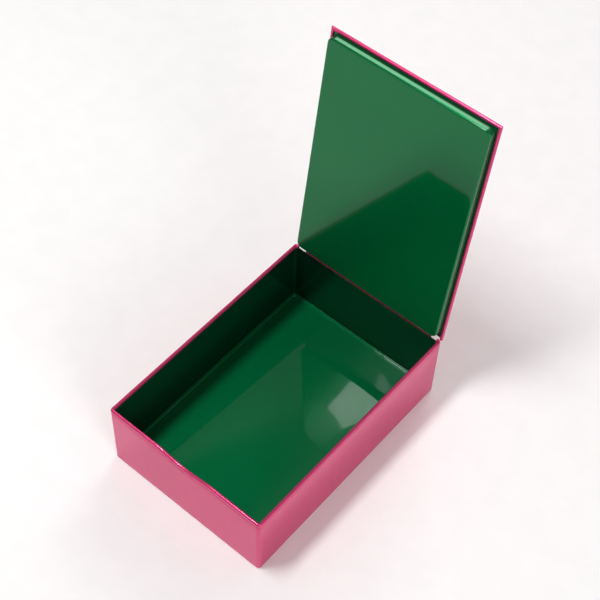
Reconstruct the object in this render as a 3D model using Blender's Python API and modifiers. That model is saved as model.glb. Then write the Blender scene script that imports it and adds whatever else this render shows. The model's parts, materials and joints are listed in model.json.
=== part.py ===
# Rectangular metal box for papers and keepsakes: a lacquered tinplate body with a rolled rim and a finger notch,
# a pressed floor pan, and a hinged lid with a raised panel inside. Everything is in metres, with +Z up.
# The origin is the middle of the underside, the notch is in the -Y wall and the hinge is along the +Y wall.

import math

import bmesh
import bpy
from mathutils import Vector

MM = 0.001

# The body
BOX_WIDTH = 115 * MM
BOX_LENGTH = 166 * MM
BOX_HEIGHT = 51.5 * MM
SHEET = 0.4 * MM

# The rim: the wall's top edge rolled inwards, with a shallow groove under the roll. Along the hinge there is no roll:
# the wall ends plainly under the groove, so that the lid's raised panel and the hinge have room
RIM_WIDTH = 2.2 * MM
RIM_HEIGHT = 2.8 * MM
RIM_CORNER_INSIDE = 0.2 * MM
RIM_END_ANGLE = math.radians(-60)
GROOVE_DEPTH = 0.25 * MM
GROOVE_HEIGHT = 1.1 * MM

# The finger notch in the front rim
NOTCH_WIDTH = 46 * MM
NOTCH_DEPTH = 2.4 * MM

# The foot: the wall's lower edge turned in under the floor
FOOT_RADIUS = 0.8 * MM
FOOT_FLANGE = 1.9 * MM

# The floor pan: its edge is stepped up and lies on the foot
PAN_LEDGE = 2.0 * MM
PAN_STEP_HEIGHT = 0.7 * MM
PAN_STEP_WIDTH = 0.4 * MM
PAN_STEP_CORNER = 1.2 * MM

# Running and seating clearances
SEAT_GAP = 0.3 * MM
PIN_CLEARANCE = 0.1 * MM
SHUT_GAP = 0.2 * MM

# The lid's outer sheet, with its edge rolled in on three sides
LID_INSET = 0.6 * MM
LID_REAR_OVERHANG = 3.9 * MM
HEM_DIAMETER = 2.2 * MM
HEM_END_ANGLE = math.radians(-30)
OPEN_ANGLE = math.radians(97)

# The raised panel inside the lid
PLUG_HEIGHT = 7.4 * MM
PLUG_INSET = 2.5 * MM
PLUG_CORNER = 4 * MM
PLUG_SHOULDER = 1 * MM
PLUG_FLANGE = 1.5 * MM
PLUG_REAR_CLEARANCE = 0.4 * MM

# The hinge
PIN_BEHIND_WALL = 1.2 * MM
PIN_ABOVE_RIM = 0.15 * MM
PIN_DIAMETER = 1.6 * MM
HINGE_END_INSET = 8 * MM
KNUCKLES = 5
BOX_LEAF_DROP = 9 * MM
LID_LEAF_REACH = 9 * MM
LEAF_JOGGLE = 0.8 * MM
BOX_ROLL_START = math.radians(230)
BOX_ROLL_END = math.radians(-100)
LID_ROLL_END = math.radians(397)

# How far each cutter runs past what it cuts
CUT_OVERRUN = 0.5 * MM

# Steps along the curves
CORNER_STEPS = 6
NOTCH_STEPS = 24
ROLL_STEPS = 12
BEND_STEPS = 4
KNUCKLE_STEPS = 22
PIN_STEPS = 24

# Worked out from the sizes above
HALF_WIDTH = BOX_WIDTH / 2
HALF_LENGTH = BOX_LENGTH / 2
HALF_SHEET = SHEET / 2
WALL_CORNER = RIM_WIDTH + RIM_CORNER_INSIDE
KNUCKLE_MIDDLE = PIN_DIAMETER / 2 + PIN_CLEARANCE + HALF_SHEET
KNUCKLE_OUTSIDE = KNUCKLE_MIDDLE + HALF_SHEET
PIN_Y = HALF_LENGTH + PIN_BEHIND_WALL
PIN_Z = BOX_HEIGHT + PIN_ABOVE_RIM
BARREL_LENGTH = BOX_WIDTH - 2 * HINGE_END_INSET
LID_HALF_WIDTH = HALF_WIDTH - LID_INSET
# In the lid's own frame the pin is the origin, and Y and Z are as in the shut lid
LID_TOP = BOX_HEIGHT + SHUT_GAP + HEM_DIAMETER - PIN_Z
LID_FRONT = LID_INSET - HALF_LENGTH - PIN_Y
LID_REAR = HALF_LENGTH + LID_REAR_OVERHANG - PIN_Y


def fresh_scene():
    for obj in list(bpy.data.objects):
        bpy.data.objects.remove(obj, do_unlink=True)


def collection(name):
    made = bpy.data.collections.new(name)
    bpy.context.scene.collection.children.link(made)
    return made


def material(name, colour, roughness, metallic):
    made = bpy.data.materials.new(name)
    made.use_nodes = True
    shader = made.node_tree.nodes["Principled BSDF"]
    shader.inputs["Base Color"].default_value = (*colour, 1)
    shader.inputs["Roughness"].default_value = roughness
    shader.inputs["Metallic"].default_value = metallic
    made.diffuse_color = (*colour, 1)
    return made


def finished(bm, name, into, look, parent=None):
    """Turns a bmesh into a named object, smooth where it is round."""
    mesh = bpy.data.meshes.new(name)
    bm.to_mesh(mesh)
    bm.free()
    mesh.shade_smooth()
    mesh.set_sharp_from_angle(angle=math.radians(40))
    if look:
        mesh.materials.append(look)
    obj = bpy.data.objects.new(name, mesh)
    obj.parent = parent
    into.objects.link(obj)
    return obj


def sheet_thickness(obj, offset=0):
    solid = obj.modifiers.new("sheet", "SOLIDIFY")
    solid.thickness = SHEET
    solid.offset = offset
    solid.use_even_offset = True
    solid.use_quality_normals = True
    return solid


def cut(obj, cutter):
    boolean = obj.modifiers.new("cut " + cutter.name, "BOOLEAN")
    boolean.operation = "DIFFERENCE"
    boolean.solver = "EXACT"
    boolean.object = cutter


def box_cutter(name, low, high, into, parent=None):
    bm = bmesh.new()
    bmesh.ops.create_cube(bm, size=1)
    size = [b - a for a, b in zip(low, high)]
    middle = [(a + b) / 2 for a, b in zip(low, high)]
    bmesh.ops.scale(bm, verts=bm.verts[:], vec=size)
    bmesh.ops.translate(bm, verts=bm.verts[:], vec=middle)
    cutter = finished(bm, name, into, None, parent)
    cutter.hide_render = True
    cutter.display_type = "WIRE"
    return cutter


def arc(centre, radii, start, end, steps):
    """Points of an elliptical arc in the plane of a section, both ends included."""
    turns = [start + (end - start) * i / steps for i in range(steps + 1)]
    return [(centre[0] + radii[0] * math.cos(a), centre[1] + radii[1] * math.sin(a)) for a in turns]


def outline(half_x, front, rear, radius, front_stations=()):
    """A rounded rectangle, anticlockwise from its front left corner, with extra points along the front."""
    points = []
    corners = (
        (-half_x + radius, front + radius, math.pi),
        (half_x - radius, front + radius, -math.pi / 2),
        (half_x - radius, rear - radius, 0),
        (-half_x + radius, rear - radius, math.pi / 2),
    )
    for index, (x, y, start) in enumerate(corners):
        points += arc((x, y), (radius, radius), start, start + math.pi / 2, CORNER_STEPS)
        if index == 0:
            points += [(station, front) for station in front_stations]
    return points


def grown_edges(bm, edges, place):
    """Extrudes open edges once, puts each new vertex where place says, and returns the new open edges."""
    made = bmesh.ops.extrude_edge_only(bm, edges=edges)["geom"]
    new = {item for item in made if isinstance(item, bmesh.types.BMVert)}
    for vert in new:
        place(vert)
    fresh = [item for item in made if isinstance(item, bmesh.types.BMEdge)]
    return [edge for edge in fresh if all(vert in new for vert in edge.verts)]


def ring_surface(rings):
    """Extrudes a closed ring of edges from one set of places to the next, and returns it with its last edges."""
    bm = bmesh.new()
    stations = bm.verts.layers.int.new("station")
    bmesh.ops.create_circle(bm, segments=len(rings[0]), radius=1)
    for index, (vert, place) in enumerate(zip(bm.verts, rings[0])):
        vert[stations] = index
        vert.co = place

    def ring_place(ring):
        def place(vert):
            vert.co = ring[vert[stations]]

        return place

    edges = bm.edges[:]
    for ring in rings[1:]:
        edges = grown_edges(bm, edges, ring_place(ring))
    return bm, edges


def strip_surface(section, length):
    """A section of (y, z) points drawn out along X."""
    bm = bmesh.new()
    verts = [bm.verts.new((-length / 2, y, z)) for y, z in section]
    edges = [bm.edges.new(pair) for pair in zip(verts, verts[1:])]
    made = bmesh.ops.extrude_edge_only(bm, edges=edges)["geom"]
    moved = [item for item in made if isinstance(item, bmesh.types.BMVert)]
    bmesh.ops.translate(bm, verts=moved, vec=(length, 0, 0))
    return bm


def wall_section():
    """The wall's section as (inset, height, whether it follows the notch), from under the floor to inside the rim."""
    foot_bend = FOOT_RADIUS - HALF_SHEET
    section = [(FOOT_FLANGE, HALF_SHEET, 0)]
    turn = arc((FOOT_RADIUS, FOOT_RADIUS), (foot_bend, foot_bend), math.radians(270), math.pi, BEND_STEPS)
    section += [(inset, height, 0) for inset, height in turn]
    top = BOX_HEIGHT - RIM_HEIGHT + GROOVE_HEIGHT / 2
    steps = 2 * BEND_STEPS
    for step in range(steps + 1):
        share = step / steps
        dip = GROOVE_DEPTH * (1 - math.cos(2 * math.pi * share)) / 2
        section.append((HALF_SHEET + dip, top - GROOVE_HEIGHT + GROOVE_HEIGHT * share, 1))
    centre = (RIM_WIDTH / 2, BOX_HEIGHT - RIM_HEIGHT / 2)
    radii = (RIM_WIDTH / 2 - HALF_SHEET, RIM_HEIGHT / 2 - HALF_SHEET)
    section += [(*point, 1) for point in arc(centre, radii, math.pi, RIM_END_ANGLE, ROLL_STEPS)]
    return section


def notch_drop(x):
    if abs(x) >= NOTCH_WIDTH / 2:
        return 0
    return NOTCH_DEPTH * (1 + math.cos(2 * math.pi * x / NOTCH_WIDTH)) / 2


def build_wall(into, look, guides):
    stations = [NOTCH_WIDTH * (i / NOTCH_STEPS - 1 / 2) for i in range(NOTCH_STEPS + 1)]
    rings = []
    for inset, height, follows in wall_section():
        points = outline(
            HALF_WIDTH - inset, inset - HALF_LENGTH, HALF_LENGTH - inset, WALL_CORNER - inset, stations
        )
        ring = []
        for x, y in points:
            drop = notch_drop(x) if y < 0 else 0
            ring.append((x, y, height - follows * drop))
        rings.append(ring)
    bm, _ = ring_surface(rings)
    wall = finished(bm, "body_wall", into, look)
    sheet_thickness(wall)
    half = LID_HALF_WIDTH - PLUG_INSET
    rear_gap = box_cutter(
        "rear_rim_gap",
        (-half, HALF_LENGTH - RIM_WIDTH - CUT_OVERRUN, BOX_HEIGHT - RIM_HEIGHT - GROOVE_HEIGHT / 2),
        (half, HALF_LENGTH + CUT_OVERRUN, BOX_HEIGHT + CUT_OVERRUN),
        guides,
    )
    cut(wall, rear_gap)
    return wall


def pan_rings(insets_heights_corners):
    rings = []
    for inset, height, corner in insets_heights_corners:
        points = outline(HALF_WIDTH - inset, inset - HALF_LENGTH, HALF_LENGTH - inset, corner)
        rings.append([(x, y, height) for x, y in points])
    return rings


def build_pan(into, look):
    edge = SHEET + SEAT_GAP
    ledge = SHEET + PAN_LEDGE
    ledge_height = SHEET + SEAT_GAP + HALF_SHEET
    rings = pan_rings(
        (
            (edge, ledge_height, WALL_CORNER - edge),
            (ledge, ledge_height, PAN_STEP_CORNER + PAN_STEP_WIDTH),
            (ledge + PAN_STEP_WIDTH, ledge_height - PAN_STEP_HEIGHT, PAN_STEP_CORNER),
        )
    )
    bm, last = ring_surface(rings)
    bmesh.ops.contextual_create(bm, geom=last)
    pan = finished(bm, "base_pan", into, look)
    sheet_thickness(pan)
    return pan


def build_lid_skin(into, look, hinge):
    """The flat outer sheet, its edge rolled in at the sides and front, and a short stop flange at the rear."""
    top = LID_TOP - HALF_SHEET
    roll = HEM_DIAMETER / 2
    bend = roll - HALF_SHEET
    rear = LID_REAR - HALF_SHEET
    flange_half = BARREL_LENGTH / 2
    columns = (roll - LID_HALF_WIDTH, -flange_half, flange_half, LID_HALF_WIDTH - roll)
    bm = bmesh.new()
    sides = bm.verts.layers.int.new("side")
    ends = bm.verts.layers.int.new("end")
    bmesh.ops.create_grid(bm, x_segments=len(columns) - 1, y_segments=1, size=1)
    for vert in bm.verts:
        column = round((vert.co.x + 1) / 2 * (len(columns) - 1))
        vert[sides] = {0: -1, len(columns) - 1: 1}.get(column, 0)
        vert[ends] = -1 if vert.co.y < 0 else 1
        vert.co = (columns[column], LID_FRONT + roll if vert[ends] < 0 else rear, top)
    rim = [edge for edge in bm.edges if edge.is_boundary]
    hemmed = [edge for edge in rim if any(vert[ends] < 0 for vert in edge.verts)]
    stop = [edge for edge in rim if all(vert[ends] > 0 and not vert[sides] for vert in edge.verts)]

    def hem_place(inset, height):
        def place(vert):
            if vert[sides]:
                vert.co.x = vert[sides] * (LID_HALF_WIDTH - inset)
            if vert[ends] < 0:
                vert.co.y = LID_FRONT + inset
            vert.co.z = height

        return place

    turn = arc((roll, LID_TOP - roll), (bend, bend), math.pi / 2, 2 * math.pi + HEM_END_ANGLE, 2 * ROLL_STEPS)
    for inset, height in turn[1:]:
        hemmed = grown_edges(bm, hemmed, hem_place(inset, height))

    def stop_place(vert):
        vert.co.z = stop_flange_tip()

    grown_edges(bm, stop, stop_place)
    skin = finished(bm, "lid_skin", into, look, hinge)
    sheet_thickness(skin)
    return skin


def stop_flange_tip():
    """The height of the rear flange's edge, so that at the open angle it rests on the leaf behind the wall."""
    leaf_face = HALF_LENGTH + SEAT_GAP + SHEET
    reach = leaf_face + SEAT_GAP - PIN_Y - LID_REAR * math.cos(OPEN_ANGLE)
    return reach / math.sin(OPEN_ANGLE)


def plug_section():
    """The raised panel's section as (inset from the lid's edge, depth below its outside)."""
    flange_depth = SHEET + SEAT_GAP + HALF_SHEET
    wall = PLUG_INSET + HALF_SHEET
    bend = SHEET
    shoulder = PLUG_SHOULDER - HALF_SHEET
    section = [(PLUG_INSET - PLUG_FLANGE, flange_depth)]
    section += [
        (wall - bend + x, flange_depth + bend - z)
        for x, z in arc((0, 0), (bend, bend), math.pi / 2, 0, BEND_STEPS)
    ]
    section += [
        (wall + shoulder - x, PLUG_HEIGHT - HALF_SHEET - shoulder + z)
        for x, z in arc((0, 0), (shoulder, shoulder), 0, math.pi / 2, BEND_STEPS)
    ]
    return section


def build_plug(into, look, hinge, guides):
    rear = HALF_LENGTH - SHEET - PLUG_REAR_CLEARANCE - PIN_Y
    rings = []
    for inset, depth in plug_section():
        past = inset - PLUG_INSET
        points = outline(
            LID_HALF_WIDTH - inset, LID_FRONT + inset, rear - past, PLUG_CORNER - past
        )
        rings.append([(x, y, LID_TOP - depth) for x, y in points])
    bm, last = ring_surface(rings)
    bmesh.ops.contextual_create(bm, geom=last)
    plug = finished(bm, "lid_plug_panel", into, look, hinge)
    sheet_thickness(plug)
    # The rear flange is left out where the hinge leaf passes under the panel
    half = BARREL_LENGTH / 2 + SEAT_GAP
    low = LID_TOP - 2 * SHEET - 2 * SEAT_GAP
    relief = box_cutter(
        "plug_rear_relief",
        (-half, rear - SHEET - CUT_OVERRUN, low),
        (half, rear + PLUG_FLANGE + CUT_OVERRUN, LID_TOP),
        guides,
        hinge,
    )
    cut(plug, relief)
    return plug


def knuckle_slots(name, obj, taken, low, high, into, parent=None):
    """Cuts the other leaf's knuckles out of a leaf's roll."""
    length = BARREL_LENGTH / KNUCKLES
    for index in range(KNUCKLES):
        if index % 2 != taken:
            continue
        left = -BARREL_LENGTH / 2 + index * length
        over_left = CUT_OVERRUN if index == 0 else 0
        over_right = CUT_OVERRUN if index == KNUCKLES - 1 else 0
        slot = box_cutter(
            f"{name}_{index + 1}",
            (left - over_left, *low),
            (left + length + over_right, *high),
            into,
            parent,
        )
        cut(obj, slot)


def build_box_leaf(into, look, guides):
    flat = HALF_LENGTH + SEAT_GAP + HALF_SHEET
    roll = arc((PIN_Y, PIN_Z), (KNUCKLE_MIDDLE, KNUCKLE_MIDDLE), BOX_ROLL_START, BOX_ROLL_END, KNUCKLE_STEPS)
    section = [(flat, BOX_HEIGHT - BOX_LEAF_DROP), (flat, roll[0][1] - SHEET), *roll]
    leaf = finished(strip_surface(section, BARREL_LENGTH), "hinge_leaf_box", into, look)
    sheet_thickness(leaf)
    reach = KNUCKLE_OUTSIDE + CUT_OVERRUN
    low = (PIN_Y - reach, PIN_Z - KNUCKLE_OUTSIDE - SEAT_GAP)
    knuckle_slots("box_leaf_slot", leaf, 1, low, (PIN_Y + reach, PIN_Z + reach), guides)
    return leaf


def build_lid_leaf(into, look, hinge, guides):
    flat = LID_TOP - SHEET - SEAT_GAP - HALF_SHEET
    # Round the pin from its top, over the rear and back up in front, seen in the shut lid
    turn = arc((0, 0), (KNUCKLE_MIDDLE, KNUCKLE_MIDDLE), math.pi / 2, LID_ROLL_END - math.pi, KNUCKLE_STEPS)
    roll = [(y, z) for y, z in turn]
    section = [(-LID_LEAF_REACH, flat), (-LEAF_JOGGLE - SHEET, flat), *roll]
    leaf = finished(strip_surface(section, BARREL_LENGTH), "hinge_leaf_lid", into, look, hinge)
    sheet_thickness(leaf)
    reach = KNUCKLE_OUTSIDE + SEAT_GAP
    low = (-reach, -KNUCKLE_OUTSIDE - CUT_OVERRUN)
    knuckle_slots("lid_leaf_slot", leaf, 0, low, (reach, flat + SHEET), guides, hinge)
    return leaf


def build_pin(into, look):
    bm = bmesh.new()
    radius = PIN_DIAMETER / 2
    bmesh.ops.create_cone(
        bm, cap_ends=True, segments=PIN_STEPS, radius1=radius, radius2=radius, depth=BARREL_LENGTH
    )
    pin = finished(bm, "hinge_pin", into, look)
    pin.rotation_euler = (0, math.pi / 2, 0)
    pin.location = (0, PIN_Y, PIN_Z)
    return pin


def main():
    fresh_scene()
    parts = collection("rectangular_metal_box")
    guides = collection("cutters")
    pink = material("pink_lacquer", (0.62, 0.17, 0.26), 0.32, 0.4)
    green = material("green_lacquer", (0.005, 0.13, 0.05), 0.3, 0.4)
    tin = material("bare_tinplate", (0.55, 0.54, 0.52), 0.35, 1)
    wire = material("steel_wire", (0.45, 0.44, 0.43), 0.3, 1)

    hinge = bpy.data.objects.new("hinge_axis", None)
    hinge.location = Vector((0, PIN_Y, PIN_Z))
    hinge.rotation_euler = (-OPEN_ANGLE, 0, 0)
    hinge.empty_display_size = RIM_WIDTH
    parts.objects.link(hinge)

    build_wall(parts, pink, guides)
    build_pan(parts, green)
    build_lid_skin(parts, pink, hinge)
    build_plug(parts, green, hinge, guides)
    build_box_leaf(parts, tin, guides)
    build_lid_leaf(parts, tin, hinge, guides)
    build_pin(parts, wire)
    bpy.context.view_layer.update()


if __name__ == "__main__":
    main()
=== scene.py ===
"""Rectangular metal box: tinplate walls, pressed floor, and a hinged lid with a raised inner panel."""

import json
import math

import bmesh
import bpy
from bpy.props import FloatProperty, FloatVectorProperty, IntProperty, PointerProperty
from mathutils import Matrix, Vector


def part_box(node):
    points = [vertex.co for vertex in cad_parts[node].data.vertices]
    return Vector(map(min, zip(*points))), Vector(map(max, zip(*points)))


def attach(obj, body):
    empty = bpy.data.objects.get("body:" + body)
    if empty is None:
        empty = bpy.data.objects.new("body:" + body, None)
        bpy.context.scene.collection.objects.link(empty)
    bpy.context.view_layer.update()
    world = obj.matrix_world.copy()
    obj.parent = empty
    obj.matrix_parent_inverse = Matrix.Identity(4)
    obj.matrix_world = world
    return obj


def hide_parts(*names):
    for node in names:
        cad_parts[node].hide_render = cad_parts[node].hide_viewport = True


bl_info = {
    "name": "Rectangular Metal Box",
    "version": (1, 0, 0),
    "blender": (4, 5, 0),
    "location": "View3D > Sidebar > Metal Box",
    "description": "Builds the sheets of a hinged tinplate box and the studio that it stands in",
    "category": "Object",
}

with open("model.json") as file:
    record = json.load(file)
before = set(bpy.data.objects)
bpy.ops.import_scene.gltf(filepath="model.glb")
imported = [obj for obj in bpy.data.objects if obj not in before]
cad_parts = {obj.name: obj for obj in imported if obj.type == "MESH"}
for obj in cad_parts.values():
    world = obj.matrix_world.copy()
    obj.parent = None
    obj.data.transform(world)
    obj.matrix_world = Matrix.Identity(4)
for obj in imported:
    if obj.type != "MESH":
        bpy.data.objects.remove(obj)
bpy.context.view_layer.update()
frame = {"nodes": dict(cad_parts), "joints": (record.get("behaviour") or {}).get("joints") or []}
WALL_LOW, WALL_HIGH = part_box("body_wall")
HINGE = next(joint for joint in frame["joints"] if joint["name"] == "lid_hinge")
PIN = Vector(HINGE["pos_m"])
OPEN_ANGLE = math.radians(HINGE["range_deg"][1])
MM = 0.001

# Where the arcs of the rim and the hem stop, and the floor step's bend radius as a share of the sheet
RIM_END_ANGLE = math.radians(-60)
HEM_END_ANGLE = math.radians(330)
STEP_BEND_SHARE = 0.9

# How finely each form is divided
BEND_STEPS = 8
FILLET_STEPS = 10
SHOULDER_STEPS = 12
GROOVE_STEPS = 16
RIM_STEPS = 28
HEM_STEPS = 32
HINGE_EDGE_STEPS = 20
WALL_STEPS = 12
WALL_SIDE_STEPS = 24
ACROSS_STEPS = 24
ALONG_STEPS = 32
NOTCH_STEPS = 48
NOTCH_SIDE_STEPS = 6
INWARD_RINGS = 24
SHARP_ANGLE = math.radians(38)

# How metallic and rough each lacquer is, then the weight and roughness of the clear coat over it
OUTSIDE_FINISH = (0.6, 0.3, 0.5, 0.07)
WALL_FINISH = (0.7, 0.25, 0.4, 0.02)
FLOOR_FINISH = (0.45, 0.45, 0.55, 0.02)
PANEL_FINISH = (0.5, 0.22, 0.5, 0.02)

# How rough each bare metal is, and how fine its drawn or rolled lines are
TIN_FINISH = (0.32, 500)
WIRE_FINISH = (0.28, 700)

# How much of the green lacquer's red, green and blue the floor and the walls show: the lighter copy on the
# floor is painted light, the darker copy on the walls is painted shade
FLOOR_PAINTED_LIGHT_SHARES = (1.0, 1.12, 1.2)
WALL_PAINTED_SHADE_SHARES = (1.0, 0.42, 0.72)
WIRE_COLOUR_SHARE = 0.8

# How far the lacquer is made pale along the edges of the sheets and of the hinge leaf: partly wear, partly a
# painted highlight
SHEET_WEAR_AND_HIGHLIGHT = 0.35
LEAF_WEAR_AND_HIGHLIGHT = 0.06

# How the two pressed panels are out of true: "xxy" is x times x times y, and its number a share of that
FLOOR_BOW = (
    ("x", -0.0124), ("y", 0.0143), ("xx", -0.31), ("xy", 0.246),
    ("yy", 0.092), ("xxx", 12.16), ("xxy", -7.52),
)
PANEL_BOW = (("x", 0.005), ("y", -0.0038), ("z", -0.0312))

# How bright the room is at these heights, from the horizon at 0 to straight above at 1
ROOM_BANDS = (
    (0.0, 0.25), (0.45, 0.25), (0.55, 0.55), (0.72, 0.55),
    (0.79, 0.38), (0.855, 0.38), (0.885, 0.05),
)

# Where each lamp hangs, the place it points at, its size in metres, its power in watts and its shape
LAMPS = {
    "key_lamp": ((-0.32, -0.336, 1.4), (-0.32, -0.336, 0), (0.2, 0.54), 11.6, "RECTANGLE"),
    "window_lamp": ((-0.39, 1.55, 1.17), (0, 0, 0), (1.3, 0.6), 10.8, "ELLIPSE"),
    "side_lamp": ((1.766, -0.643, 0.684), (0, 0, 0), (1, 1), 17, "ELLIPSE"),
}
TABLE_SIZE = 6
TABLE_DIVISIONS = 8

# The camera's view of the table, and its lens for a picture that is 600 pixels wide
CAMERA_AIM = Vector((-0.04994, 0.08027, 0))
CAMERA_DISTANCE = 0.9155
CAMERA_AZIMUTH = math.radians(38.051)
CAMERA_ELEVATION = math.radians(53.044)
CAMERA_ROLL = math.radians(2.804)
CAMERA_REACH = (0.01, 20)
SENSOR_WIDTH_MM = 36
FOCAL_LENGTH_PX = 1393.2
PICTURE_WIDTH_PX = 600


def length(name, description, default):
    return FloatProperty(name=name, description=description, default=default, unit="LENGTH", precision=4)


def colour(name, description, default):
    return FloatVectorProperty(
        name=name, description=description, default=default, subtype="COLOR", size=3, min=0, max=1
    )


class BoxSizes(bpy.types.PropertyGroup):
    """Sizes of the folded sheets. The defaults are those of the solids."""

    width: length("Width", "Body from side to side", WALL_HIGH.x - WALL_LOW.x)
    depth: length("Depth", "Body from the notched wall to the hinge", WALL_HIGH.y - WALL_LOW.y)
    height: length("Height", "Body from the ground to the top of the rim", WALL_HIGH.z - WALL_LOW.z)
    sheet: length("Sheet", "Thickness of the tinplate", 0.4 * MM)
    rim_width: length("Rim width", "Rolled rim from outside to inside", 2.2 * MM)
    rim_height: length("Rim height", "Rolled rim from top to bottom", 2.8 * MM)
    rim_corner: length("Rim corner", "Radius inside the rim's corners", 0.2 * MM)
    groove_depth: length("Groove depth", "Depth of the groove under the rim", 0.25 * MM)
    groove_height: length("Groove height", "Height of the groove under the rim", 1.1 * MM)
    notch_width: length("Notch width", "Width of the finger notch", 46 * MM)
    notch_depth: length("Notch depth", "Depth of the finger notch", 2.4 * MM)
    foot_radius: length("Foot radius", "Radius of the body's lower edge", 0.8 * MM)
    foot_flange: length("Foot flange", "Reach of the wall under the floor", 1.9 * MM)
    gap: length("Gap", "Clearance between sheets that lie on each other", 0.3 * MM)
    ledge: length("Floor ledge", "Width of the ledge round the floor", 2.0 * MM)
    ledge_step: length("Floor step", "Drop from the ledge to the floor", 0.7 * MM)
    step_width: length("Step width", "Width of the step's slope", 0.4 * MM)
    step_corner: length("Step corner", "Corner radius at the foot of the step", 1.2 * MM)
    lid_inset: length("Lid inset", "Lid's edge inside the body's outside", 0.6 * MM)
    lid_overhang: length("Lid overhang", "Lid's rear edge behind the body", 3.9 * MM)
    hem: length("Hem", "Diameter of the lid's rolled edge", 2.2 * MM)
    shut_gap: length("Shut gap", "Gap between the rim and the shut lid's hem", 0.2 * MM)
    plug_height: length("Panel height", "Inner panel's face below the lid's outside", 7.4 * MM)
    plug_inset: length("Panel inset", "Inner panel's side from the lid's edge", 2.5 * MM)
    plug_corner: length("Panel corner", "Corner radius of the inner panel", 4 * MM)
    plug_shoulder: length("Panel shoulder", "Radius between the inner panel's side and face", 1 * MM)
    plug_flange: length("Panel flange", "Reach of the inner panel's flange into the hem", 1.5 * MM)
    plug_rear_gap: length("Panel rear gap", "Gap between the rear wall and the shut panel's rear", 0.4 * MM)
    hinge_end: length("Hinge end", "Hinge's end from the body's side", 8 * MM)
    corner_steps: IntProperty(name="Corner steps", description="Segments in each corner", default=10, min=2)


class BoxColours(bpy.types.PropertyGroup):
    """Colours of the lacquers, the bare metal and the studio."""

    outside: colour("Outside lacquer", "Lacquer on the outside of the box", (0.625, 0.045, 0.168))
    inside: colour("Inside lacquer", "Lacquer on the inside of the box", (0.0003, 0.136, 0.039))
    tin: colour("Bare tin", "Cut edges and the hinge", (0.56, 0.55, 0.53))
    table: colour("Table", "Floor that the box stands on", (0.93, 0.915, 0.91))
    sky: colour("Room", "Light that the room sends back", (1.0, 0.99, 0.985))


# Sections and outlines


def arc(centre, radii, start, end, steps):
    """Points of an elliptical arc, both ends included."""
    turns = [start + (end - start) * i / steps for i in range(steps + 1)]
    return [(centre[0] + radii[0] * math.cos(a), centre[1] + radii[1] * math.sin(a)) for a in turns]


def between(low, high, steps):
    """Evenly spaced places between two ends, both ends left out."""
    return [low + (high - low) * i / steps for i in range(1, steps)]


def filleted(points, radius, steps):
    """Rounds the inner corners of a line of points."""
    made = [points[0]]
    for before, here, after in zip(points, points[1:], points[2:]):
        corner = Vector(here)
        one = (Vector(before) - corner).normalized()
        two = (Vector(after) - corner).normalized()
        half = one.angle(two) / 2
        reach = radius / math.tan(half)
        start, end = corner + one * reach, corner + two * reach
        middle = corner + (one + two).normalized() * (radius / math.sin(half))
        first, last = start - middle, end - middle
        turn = first.angle(last)
        for i in range(steps + 1):
            share = i / steps
            mixed = first * math.sin((1 - share) * turn) + last * math.sin(share * turn)
            made.append(tuple(middle + mixed / math.sin(turn)))
    made.append(points[-1])
    return made


def outline(half_x, front, rear, radius, steps, across=(), along=()):
    """A rounded rectangle, anticlockwise from its front left corner, with side points at these shares."""
    points = []
    corners = (
        (-half_x + radius, front + radius, math.pi),
        (half_x - radius, front + radius, -math.pi / 2),
        (half_x - radius, rear - radius, 0),
        (-half_x + radius, rear - radius, math.pi / 2),
    )
    flat_x = half_x - radius
    middle, flat_y = (front + rear) / 2, (rear - front) / 2 - radius
    sides = (
        [(share * flat_x, front) for share in across],
        [(half_x, middle + share * flat_y) for share in along],
        [(-share * flat_x, rear) for share in across],
        [(-half_x, middle - share * flat_y) for share in along],
    )
    for (x, y, start), side in zip(corners, sides):
        points += arc((x, y), (radius, radius), start, start + math.pi / 2, steps) + side
    return points


def inward_rings(half_x, front, rear, inset, radius, height, steps, across, along):
    """Rings that close in on the middle of a flat panel, each at the same height."""
    rings = []
    reach = min(half_x, (rear - front) / 2) - inset
    for i in range(1, INWARD_RINGS):
        past = inset + reach * i / INWARD_RINGS
        corner = max(radius * (1 - i / INWARD_RINGS), radius / INWARD_RINGS)
        points = outline(half_x - past, front + past, rear - past, corner, steps, across, along)
        rings.append([(x, y, height) for x, y in points])
    return rings


# Sheets


def grown_edges(bm, edges, place):
    """Extrudes open edges once, puts each new vertex where place says, and returns the new open edges."""
    made = bmesh.ops.extrude_edge_only(bm, edges=edges)["geom"]
    new = {item for item in made if isinstance(item, bmesh.types.BMVert)}
    for vert in new:
        place(vert)
    fresh = [item for item in made if isinstance(item, bmesh.types.BMEdge)]
    return [edge for edge in fresh if all(vert in new for vert in edge.verts)]


def at_height(height):
    """A place for grown edges: straight above or below, at one height."""

    def place(vert):
        vert.co.z = height

    return place


def ring_surface(rings, closed):
    """Extrudes a closed ring of edges from each set of places to the next, and fills the last if asked."""
    bm = bmesh.new()
    stations = bm.verts.layers.int.new("station")
    bmesh.ops.create_circle(bm, segments=len(rings[0]), radius=1)
    for index, (vert, place) in enumerate(zip(bm.verts, rings[0])):
        vert[stations] = index
        vert.co = place

    def ring_place(ring):
        def place(vert):
            vert.co = ring[vert[stations]]

        return place

    edges = bm.edges[:]
    for ring in rings[1:]:
        edges = grown_edges(bm, edges, ring_place(ring))
    if closed:
        bmesh.ops.contextual_create(bm, geom=edges)
    return bm


def turned_towards(bm, place, direction):
    """Turns the whole sheet over if the face nearest a place looks away from a direction."""
    bmesh.ops.recalc_face_normals(bm, faces=bm.faces[:])
    bm.normal_update()
    nearest = min(bm.faces, key=lambda face: (face.calc_center_median() - Vector(place)).length)
    if nearest.normal.dot(Vector(direction)) < 0:
        bmesh.ops.reverse_faces(bm, faces=bm.faces[:])


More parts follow.
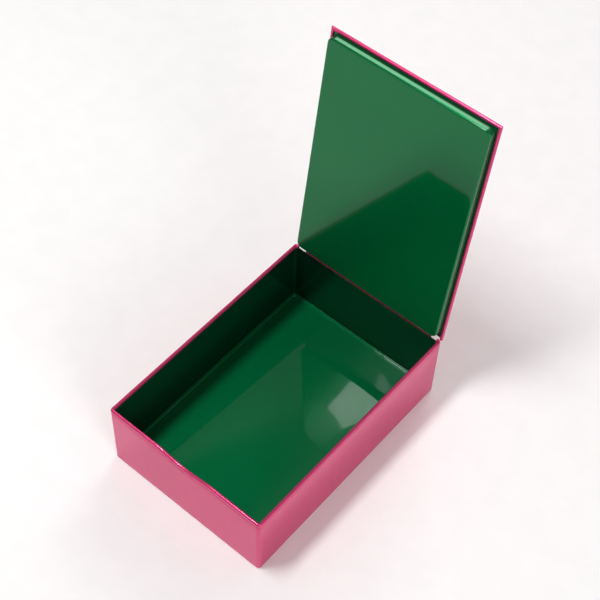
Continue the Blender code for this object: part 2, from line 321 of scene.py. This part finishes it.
def sheet_piece(bm, name, thickness, sides, body, nodes, turn=None):
    """Gives the surface its thickness, a look for each side and the cut edge, and its place in the frame."""
    mesh = bpy.data.meshes.new(name)
    bm.to_mesh(mesh)
    bm.free()
    look = looks()
    for side in sides:
        mesh.materials.append(look[side])
    obj = bpy.data.objects.new(name, mesh)
    bpy.context.scene.collection.objects.link(obj)
    solid = obj.modifiers.new("sheet", "SOLIDIFY")
    solid.thickness = thickness
    solid.offset = 0
    solid.use_even_offset = True
    solid.use_quality_normals = True
    solid.material_offset = 1
    solid.material_offset_rim = 2
    graph = bpy.context.evaluated_depsgraph_get()
    made = bpy.data.meshes.new_from_object(obj.evaluated_get(graph))
    obj.modifiers.clear()
    obj.data = made
    made.name = name
    bpy.data.meshes.remove(mesh)
    if turn:
        made.transform(turn)
    made.shade_smooth()
    made.set_sharp_from_angle(angle=SHARP_ANGLE)
    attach(obj, body)
    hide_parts(*nodes)


def lid_frame():
    """From the shut lid, with the pin at the origin, to the open lid in the box's frame."""
    return Matrix.Translation(PIN) @ Matrix.Rotation(-OPEN_ANGLE, 4, "X")


# Materials


class Nodes:
    """A small helper that adds a material's shader nodes and joins them."""

    def __init__(self, name):
        self.material = bpy.data.materials.new(name)
        self.material.use_nodes = True
        self.tree = self.material.node_tree
        self.shader = self.tree.nodes["Principled BSDF"]

    def add(self, kind):
        return self.tree.nodes.new(kind)

    def join(self, out, into):
        self.tree.links.new(out, into)

    def fill(self, node, **values):
        """Sets a node's sockets by name, with _ for each space."""
        for key, value in values.items():
            node.inputs[key.replace("_", " ")].default_value = value

    def feed(self, value, socket):
        """Joins a socket to what feeds it, or sets it to a plain value."""
        if isinstance(value, bpy.types.NodeSocket):
            self.join(value, socket)
        else:
            socket.default_value = value

    def noise(self, position, scale, detail, stretch=(1, 1, 1)):
        mapping = self.add("ShaderNodeMapping")
        self.join(position, mapping.inputs["Vector"])
        self.fill(mapping, Scale=stretch)
        node = self.add("ShaderNodeTexNoise")
        self.fill(node, Scale=scale, Detail=detail)
        self.join(mapping.outputs["Vector"], node.inputs["Vector"])
        return node.outputs["Fac"]

    def ramp(self, value, low, high, to_low=0.0, to_high=1.0):
        node = self.add("ShaderNodeMapRange")
        self.fill(node, From_Min=low, From_Max=high, To_Min=to_low, To_Max=to_high)
        self.join(value, node.inputs["Value"])
        return node.outputs["Result"]

    def mix(self, share, one, two):
        node = self.add("ShaderNodeMix")
        node.data_type = "RGBA"
        self.feed(share, node.inputs[0])
        self.feed(one, node.inputs[6])
        self.feed(two, node.inputs[7])
        return node.outputs[2]

    def math(self, kind, *values):
        node = self.add("ShaderNodeMath")
        node.operation = kind
        for socket, value in zip(node.inputs, values):
            self.feed(value, socket)
        return node.outputs["Value"]

    def height(self, position, bow):
        """A bow's height: each product of axes times its share, added up."""
        split = self.add("ShaderNodeSeparateXYZ")
        self.join(position, split.inputs["Vector"])
        axes = dict(zip("xyz", split.outputs))
        total = 0.0
        for letters, share in bow:
            product = axes[letters[0]]
            for letter in letters[1:]:
                product = self.math("MULTIPLY", product, axes[letter])
            total = self.math("MULTIPLY_ADD", product, share, total)
        return total

    def bump(self, height, distance, strength, under=None):
        node = self.add("ShaderNodeBump")
        self.fill(node, Distance=distance, Strength=strength)
        self.join(height, node.inputs["Height"])
        if under:
            self.join(under, node.inputs["Normal"])
        return node.outputs["Normal"]

    def shade(self, **values):
        """Feeds the shader's sockets by name, with _ for each space."""
        for key, value in values.items():
            self.feed(value, self.shader.inputs[key.replace("_", " ")])


def rgba(values, gain=1.0):
    return (*[min(1.0, value * gain) for value in values], 1)


def tinted(values, shares):
    return [value * share for value, share in zip(values, shares)]


def lacquer(name, base, finish, bow=None, wear_and_highlight=SHEET_WEAR_AND_HIGHLIGHT):
    """Coloured lacquer on tinplate: a soft metallic base under a clear gloss, paler along edges as wear and
    as a painted highlight.
    """
    metallic, roughness, coat, coat_roughness = finish
    nodes = Nodes(name)
    position = nodes.add("ShaderNodeTexCoord").outputs["Object"]
    clouds = nodes.noise(position, scale=14, detail=3)
    streaks = nodes.noise(position, scale=160, detail=4, stretch=(1, 1, 0.12))
    tone = nodes.mix(nodes.ramp(clouds, 0.3, 0.7), rgba(base, 0.96), rgba(base, 1.04))
    tone = nodes.mix(nodes.ramp(streaks, 0.35, 0.75, 0, 0.25), tone, rgba(base, 1.08))
    # Wear and painted highlight: convex edges, in patches, are mixed towards a paler colour
    edges = nodes.add("ShaderNodeNewGeometry").outputs["Pointiness"]
    patches = nodes.noise(position, scale=420, detail=3)
    wear_and_highlight_mask = nodes.math("MULTIPLY", nodes.ramp(edges, 0.54, 0.62, 0, wear_and_highlight), nodes.ramp(patches, 0.45, 0.7))
    wear_and_highlight_colour = [0.25 + 0.75 * value for value in base]
    wave = nodes.bump(nodes.noise(position, scale=22, detail=1), distance=0.0006, strength=0.1)
    specks = nodes.noise(position, scale=900, detail=2)
    grain = nodes.bump(specks, distance=0.00004, strength=0.15, under=wave)
    bowed = nodes.bump(nodes.height(position, bow), distance=1, strength=1, under=wave) if bow else wave
    nodes.shade(
        Base_Color=nodes.mix(wear_and_highlight_mask, tone, rgba(wear_and_highlight_colour)),
        Metallic=metallic,
        Roughness=nodes.ramp(streaks, 0.3, 0.7, roughness * 0.92, roughness * 1.08),
        Specular_IOR_Level=0.0,
        Normal=grain,
        Coat_Weight=coat,
        Coat_Roughness=coat_roughness,
        Coat_IOR=1.5,
        Coat_Normal=bowed,
    )
    return nodes.material


def bare_metal(name, base, finish):
    """Drawn or rolled bare metal with fine lines and a little tarnish."""
    roughness, line_scale = finish
    nodes = Nodes(name)
    position = nodes.add("ShaderNodeTexCoord").outputs["Object"]
    lines = nodes.noise(position, scale=line_scale, detail=4, stretch=(0.05, 1, 1))
    spots = nodes.noise(position, scale=90, detail=3)
    nodes.shade(
        Base_Color=nodes.mix(nodes.ramp(spots, 0.45, 0.75), rgba(base), rgba(base, 0.72)),
        Metallic=1.0,
        Roughness=nodes.ramp(lines, 0.3, 0.7, roughness * 0.75, roughness * 1.3),
        Normal=nodes.bump(lines, distance=0.00003, strength=0.3),
    )
    return nodes.material


def looks():
    """The finishes, made once and shared by all the pieces."""
    colours = bpy.context.scene.metal_box_colours
    # Painted light on the floor, and painted shade on the walls and the lid's inside: lighter and darker
    # copies of the one green lacquer
    floor = tinted(colours.inside, FLOOR_PAINTED_LIGHT_SHARES)
    walls = tinted(colours.inside, WALL_PAINTED_SHADE_SHARES)
    wire = [WIRE_COLOUR_SHARE * value for value in colours.tin]
    recipes = {
        "outside": (lacquer, "outside_lacquer", colours.outside, OUTSIDE_FINISH),
        "inside": (lacquer, "inside_lacquer", walls, WALL_FINISH),
        "floor": (lacquer, "floor_lacquer", floor, FLOOR_FINISH, FLOOR_BOW),
        "panel": (lacquer, "panel_lacquer", colours.inside, PANEL_FINISH, PANEL_BOW),
        "leaf": (lacquer, "leaf_lacquer", colours.outside, OUTSIDE_FINISH, None, LEAF_WEAR_AND_HIGHLIGHT),
        "tin": (bare_metal, "bare_tin", colours.tin, TIN_FINISH),
        "wire": (bare_metal, "steel_wire", wire, WIRE_FINISH),
    }
    made = bpy.data.materials.get
    return {key: made(name) or recipe(name, *rest) for key, (recipe, name, *rest) in recipes.items()}


# Pieces


class METALBOX_OT_body(bpy.types.Operator):
    """Adds the body's four walls as one band of sheet with its rolled rim, groove, notch and foot"""

    bl_idname = "metalbox.body"
    bl_label = "Body Walls"

    def section(self, s):
        """(inset, height, whether it follows the notch), from under the floor to inside the rim."""
        half = s.sheet / 2
        bend = s.foot_radius - half
        section = [(s.foot_flange, half, 0)]
        turn = arc((s.foot_radius, s.foot_radius), (bend, bend), 1.5 * math.pi, math.pi, BEND_STEPS)
        section += [(inset, height, 0) for inset, height in turn]
        top = s.height - s.rim_height + s.groove_height / 2
        upright = between(s.foot_radius, top - s.groove_height, WALL_STEPS)
        section += [(half, height, 0) for height in upright]
        for step in range(GROOVE_STEPS + 1):
            share = step / GROOVE_STEPS
            dip = s.groove_depth * (1 - math.cos(2 * math.pi * share)) / 2
            section.append((half + dip, top - s.groove_height + s.groove_height * share, 1))
        centre = (s.rim_width / 2, s.height - s.rim_height / 2)
        radii = (s.rim_width / 2 - half, s.rim_height / 2 - half)
        section += [(*point, 1) for point in arc(centre, radii, math.pi, RIM_END_ANGLE, RIM_STEPS)]
        return section

    def execute(self, context):
        s = context.scene.metal_box_sizes
        corner = s.rim_width + s.rim_corner
        flat_x = s.width / 2 - corner
        notch = s.notch_width / 2
        plain = s.width / 2 - s.lid_inset - s.plug_inset
        left = [x / flat_x for x in (-plain, *between(-plain, -notch, NOTCH_SIDE_STEPS), -notch)]
        middle = [x / flat_x for x in between(-notch, notch, NOTCH_STEPS)]
        across = left + middle + [-share for share in reversed(left)]
        along = between(-1, 1, WALL_SIDE_STEPS)

        def drop(x, y):
            inside = y < 0 and abs(x) < notch
            return s.notch_depth * (1 + math.cos(math.pi * x / notch)) / 2 if inside else 0

        rings = []
        for inset, height, follows in self.section(s):
            points = outline(
                s.width / 2 - inset, inset - s.depth / 2, s.depth / 2 - inset, corner - inset,
                s.corner_steps, across, along,
            )
            rings.append([(x, y, height - follows * drop(x, y)) for x, y in points])
        bm = ring_surface(rings, False)
        # Along the hinge the wall ends plainly under the groove
        plain_top = s.height - s.rim_height - s.groove_height / 2
        rolled = []
        for face in bm.faces:
            x, y, z = face.calc_center_median()
            if abs(x) < plain and y > s.depth / 2 - s.rim_width and z > plain_top:
                rolled.append(face)
        bmesh.ops.delete(bm, geom=rolled, context="FACES")
        turned_towards(bm, (0, -s.depth / 2, s.height / 2), (0, -1, 0))
        sheet_piece(
            bm, "box_walls", s.sheet, ("outside", "inside", "tin"), "box", ("body_wall",)
        )
        return {"FINISHED"}


class METALBOX_OT_floor(bpy.types.Operator):
    """Adds the pressed floor with its raised ledge, lying on the walls' turned-in foot"""

    bl_idname = "metalbox.floor"
    bl_label = "Floor"

    def execute(self, context):
        s = context.scene.metal_box_sizes
        half_x, half_y = s.width / 2, s.depth / 2
        edge = s.sheet + s.gap
        ledge = s.sheet + s.ledge
        high = edge + s.sheet / 2
        low = high - s.ledge_step
        across, along = between(-1, 1, ACROSS_STEPS), between(-1, 1, ALONG_STEPS)
        outer = s.rim_width + s.rim_corner - edge
        line = [(edge, high), (ledge, high), (ledge + s.step_width, low), (ledge + 3 * s.step_width, low)]
        rings = []
        for inset, height in filleted(line, STEP_BEND_SHARE * s.sheet, FILLET_STEPS):
            share = (inset - edge) / (ledge + s.step_width - edge)
            radius = outer + (s.step_corner - outer) * min(1, share)
            points = outline(
                half_x - inset, inset - half_y, half_y - inset, radius, s.corner_steps, across, along
            )
            rings.append([(x, y, height) for x, y in points])
        rings += inward_rings(
            half_x, -half_y, half_y, line[-1][0], s.step_corner, low, s.corner_steps, across, along
        )
        bm = ring_surface(rings, True)
        turned_towards(bm, (0, 0, low), (0, 0, 1))
        sheet_piece(
            bm, "floor_pan", s.sheet, ("floor", "outside", "tin"), "box", ("base_pan",)
        )
        return {"FINISHED"}


def lid_levels(s):
    """Top, front and rear of the lid, in the shut lid's frame with the pin at the origin."""
    top = s.height + s.shut_gap + s.hem - PIN.z
    front = s.lid_inset - s.depth / 2 - PIN.y
    rear = s.depth / 2 + s.lid_overhang - PIN.y
    return top, front, rear


class METALBOX_OT_lid_sheet(bpy.types.Operator):
    """Adds the lid's outer sheet, rolled in along the sides and front, with a stop flange at the rear"""

    bl_idname = "metalbox.lid_sheet"
    bl_label = "Lid Sheet"

    def flat_sheet(self, columns, rows, height):
        """A grid whose vertices know at which side, front or rear edge of the sheet they lie."""
        last_x, last_y = len(columns) - 1, len(rows) - 1
        bm = bmesh.new()
        sides = bm.verts.layers.int.new("side")
        ends = bm.verts.layers.int.new("end")
        bmesh.ops.create_grid(bm, x_segments=last_x, y_segments=last_y, size=1)
        for vert in bm.verts:
            column = round((vert.co.x + 1) / 2 * last_x)
            row = round((vert.co.y + 1) / 2 * last_y)
            vert[sides] = {0: -1, last_x: 1}.get(column, 0)
            vert[ends] = {0: -1, last_y: 1}.get(row, 0)
            vert.co = (columns[column], rows[row], height)
        return bm, sides, ends

    def execute(self, context):
        s = context.scene.metal_box_sizes
        top, front, rear = lid_levels(s)
        half = s.sheet / 2
        half_x = s.width / 2 - s.lid_inset
        roll = s.hem / 2
        bend = roll - half
        flange = s.width / 2 - s.hinge_end
        hinged = between(-flange, flange, HINGE_EDGE_STEPS)
        columns = [roll - half_x, -flange, *hinged, flange, half_x - roll]
        rows = [front + roll, *between(front + roll, rear - half, ALONG_STEPS), rear - half]
        bm, sides, ends = self.flat_sheet(columns, rows, top - half)
        edges = [edge for edge in bm.edges if edge.is_boundary]
        hemmed = [edge for edge in edges if not all(vert[ends] > 0 for vert in edge.verts)]
        stop = [edge for edge in edges if all(vert[ends] > 0 and not vert[sides] for vert in edge.verts)]

        def hem_place(inset, height):
            def place(vert):
                if vert[sides]:
                    vert.co.x = vert[sides] * (half_x - inset)
                if vert[ends] < 0:
                    vert.co.y = front + inset
                vert.co.z = height

            return place

        turn = arc((roll, top - roll), (bend, bend), math.pi / 2, HEM_END_ANGLE, HEM_STEPS)
        for inset, height in turn[1:]:
            hemmed = grown_edges(bm, hemmed, hem_place(inset, height))
        # The stop flange reaches the hinge leaf on the rear wall when the lid is open
        leaf_face = s.depth / 2 + s.gap + s.sheet
        tip = (leaf_face + s.gap - PIN.y - rear * math.cos(OPEN_ANGLE)) / math.sin(OPEN_ANGLE)
        for height in (top - s.sheet, tip):
            stop = grown_edges(bm, stop, at_height(height))
        turned_towards(bm, (0, front / 2, top), (0, 0, 1))
        sheet_piece(
            bm, "lid_sheet", s.sheet, ("outside", "inside", "tin"), "lid",
            ("lid_skin",), lid_frame(),
        )
        return {"FINISHED"}


class METALBOX_OT_lid_panel(bpy.types.Operator):
    """Adds the raised panel inside the lid, its flange held by the lid's rolled edge"""

    bl_idname = "metalbox.lid_panel"
    bl_label = "Lid Inner Panel"

    def section(self, s):
        """(inset from the lid's edge, depth below its outside), and how many precede the upright wall."""
        half = s.sheet / 2
        flange = s.sheet + s.gap + half
        wall = s.plug_inset + half
        bend = s.sheet
        shoulder = s.plug_shoulder - half
        section = [(s.plug_inset - s.plug_flange, flange)]
        turn = arc((0, 0), (bend, bend), math.pi / 2, 0, BEND_STEPS)
        section += [(wall - bend + x, flange + bend - z) for x, z in turn]
        bends = len(section) - 1
        turn = arc((0, 0), (shoulder, shoulder), 0, math.pi / 2, SHOULDER_STEPS)
        section += [(wall + shoulder - x, s.plug_height - half - shoulder + z) for x, z in turn]
        return section, bends

    def execute(self, context):
        s = context.scene.metal_box_sizes
        top, front, _ = lid_levels(s)
        half_x = s.width / 2 - s.lid_inset
        rear = s.depth / 2 - s.sheet - s.plug_rear_gap - PIN.y + s.plug_inset
        middle = (front + rear) / 2
        across, along = between(-1, 1, ACROSS_STEPS), between(-1, 1, ALONG_STEPS)
        leaf = s.width / 2 - s.hinge_end + s.gap
        section, bends = self.section(s)
        edge_depth = section[0][1]
        wall, wall_depth = section[bends]
        rings = []
        for index, (inset, depth) in enumerate(section):
            radius = s.plug_corner - inset + s.plug_inset
            points = outline(
                half_x - inset, front + inset, rear - inset, radius, s.corner_steps, across, along
            )
            ring = []
            for x, y in points:
                # The rear has no flange where the hinge leaf passes: its wall simply ends there
                if index < bends and abs(x) < leaf and y > middle:
                    drop = index / bends * (wall_depth - edge_depth)
                    ring.append((x, rear - wall, top - edge_depth - drop))
                else:
                    ring.append((x, y, top - depth))
            rings.append(ring)
        inset, depth = section[-1]
        rings += inward_rings(
            half_x, front, rear, inset, s.plug_corner - inset + s.plug_inset, top - depth,
            s.corner_steps, across, along,
        )
        bm = ring_surface(rings, True)
        turned_towards(bm, (0, front / 2, top - depth), (0, 0, -1))
        sheet_piece(
            bm, "lid_inner_panel", s.sheet, ("panel", "tin", "tin"), "lid",
            ("lid_plug_panel",), lid_frame(),
        )
        return {"FINISHED"}


class METALBOX_OT_hinge(bpy.types.Operator):
    """Gives the hinge's leaves and pin their lacquer and bare metal"""

    bl_idname = "metalbox.hinge"
    bl_label = "Hinge"

    def execute(self, context):
        look = looks()
        for node, name in (("hinge_leaf_box", "leaf"), ("hinge_leaf_lid", "tin"), ("hinge_pin", "wire")):
            mesh = frame["nodes"][node].data
            mesh.materials.clear()
            mesh.materials.append(look[name])
        return {"FINISHED"}


class METALBOX_OT_studio(bpy.types.Operator):
    """Adds the table, the lamps, the room's light and the camera"""

    bl_idname = "metalbox.studio"
    bl_label = "Studio"

    def lamp(self, name, place, aim, size, power, shape):
        light = bpy.data.lights.new(name, "AREA")
        light.shape = shape
        light.size, light.size_y = size
        light.energy = power
        obj = bpy.data.objects.new(name, light)
        bpy.context.scene.collection.objects.link(obj)
        obj.location = place
        obj.rotation_euler = (Vector(aim) - Vector(place)).to_track_quat("-Z", "Y").to_euler()

    def table(self, colours):
        bpy.ops.mesh.primitive_grid_add(
            x_subdivisions=TABLE_DIVISIONS, y_subdivisions=TABLE_DIVISIONS, size=TABLE_SIZE
        )
        table = bpy.context.object
        table.name = "table"
        nodes = Nodes("matt_table")
        place = nodes.add("ShaderNodeNewGeometry").outputs["Position"]
        fibres = nodes.noise(place, scale=60, detail=4)
        weave = nodes.ramp(fibres, 0.35, 0.65)
        tone = nodes.mix(weave, rgba(colours.table, 0.99), rgba(colours.table, 1.01))
        nodes.shade(Base_Color=tone, Roughness=0.9, Specular_IOR_Level=0.15)
        table.data.materials.append(nodes.material)

    def room(self, colours):
        world = bpy.data.worlds.new("room")
        bpy.context.scene.world = world
        world.use_nodes = True
        tree = world.node_tree
        background = tree.nodes["Background"]
        where = tree.nodes.new("ShaderNodeTexCoord")
        split = tree.nodes.new("ShaderNodeSeparateXYZ")
        tree.links.new(where.outputs["Generated"], split.inputs["Vector"])
        bands = tree.nodes.new("ShaderNodeValToRGB")
        bands.color_ramp.interpolation = "EASE"
        stops = bands.color_ramp.elements
        while len(stops) < len(ROOM_BANDS):
            stops.new(1)
        for stop, (height, level) in zip(stops, ROOM_BANDS):
            stop.position = height
            stop.color = (level, level, level, 1)
        tree.links.new(split.outputs["Z"], bands.inputs["Fac"])
        background.inputs["Color"].default_value = rgba(colours.sky)
        tree.links.new(bands.outputs["Color"], background.inputs["Strength"])

    def camera(self):
        across, forth = math.sin(CAMERA_AZIMUTH), math.cos(CAMERA_AZIMUTH)
        flat = math.cos(CAMERA_ELEVATION)
        back = Vector((across * flat, -forth * flat, math.sin(CAMERA_ELEVATION)))
        level = Vector((forth, across, 0))
        upright = back.cross(level)
        right = math.cos(CAMERA_ROLL) * level + math.sin(CAMERA_ROLL) * upright
        up = -math.sin(CAMERA_ROLL) * level + math.cos(CAMERA_ROLL) * upright
        data = bpy.data.cameras.new("camera")
        data.sensor_width = SENSOR_WIDTH_MM
        data.lens = FOCAL_LENGTH_PX * SENSOR_WIDTH_MM / PICTURE_WIDTH_PX
        data.clip_start, data.clip_end = CAMERA_REACH
        camera = bpy.data.objects.new("camera", data)
        bpy.context.scene.collection.objects.link(camera)
        turn = Matrix((right, up, back)).transposed().to_4x4()
        camera.matrix_world = Matrix.Translation(CAMERA_AIM + back * CAMERA_DISTANCE) @ turn
        bpy.context.scene.camera = camera

    def execute(self, context):
        colours = context.scene.metal_box_colours
        self.table(colours)
        self.room(colours)
        for name, settings in LAMPS.items():
            self.lamp(name, *settings)
        self.camera()
        context.scene.view_settings.view_transform = "Standard"
        return {"FINISHED"}


PIECES = (
    METALBOX_OT_body,
    METALBOX_OT_floor,
    METALBOX_OT_lid_sheet,
    METALBOX_OT_lid_panel,
    METALBOX_OT_hinge,
    METALBOX_OT_studio,
)


class METALBOX_PT_panel(bpy.types.Panel):
    """Lists the box's pieces and their settings"""

    bl_idname = "METALBOX_PT_panel"
    bl_label = "Metal Box"
    bl_space_type = "VIEW_3D"
    bl_region_type = "UI"
    bl_category = "Metal Box"

    def draw(self, context):
        for piece in PIECES:
            self.layout.operator(piece.bl_idname)
        for settings in (context.scene.metal_box_sizes, context.scene.metal_box_colours):
            column = self.layout.column(align=True)
            for name in settings.__annotations__:
                column.prop(settings, name)


CLASSES = (BoxSizes, BoxColours, *PIECES, METALBOX_PT_panel)


def register():
    for cls in CLASSES:
        bpy.utils.register_class(cls)
    bpy.types.Scene.metal_box_sizes = PointerProperty(type=BoxSizes)
    bpy.types.Scene.metal_box_colours = PointerProperty(type=BoxColours)


def unregister():
    del bpy.types.Scene.metal_box_colours
    del bpy.types.Scene.metal_box_sizes
    for cls in reversed(CLASSES):
        bpy.utils.unregister_class(cls)


def main():
    register()
    bpy.ops.metalbox.body()
    bpy.ops.metalbox.floor()
    bpy.ops.metalbox.lid_sheet()
    bpy.ops.metalbox.lid_panel()
    bpy.ops.metalbox.hinge()
    bpy.ops.metalbox.studio()


if __name__ == "__main__":
    main()
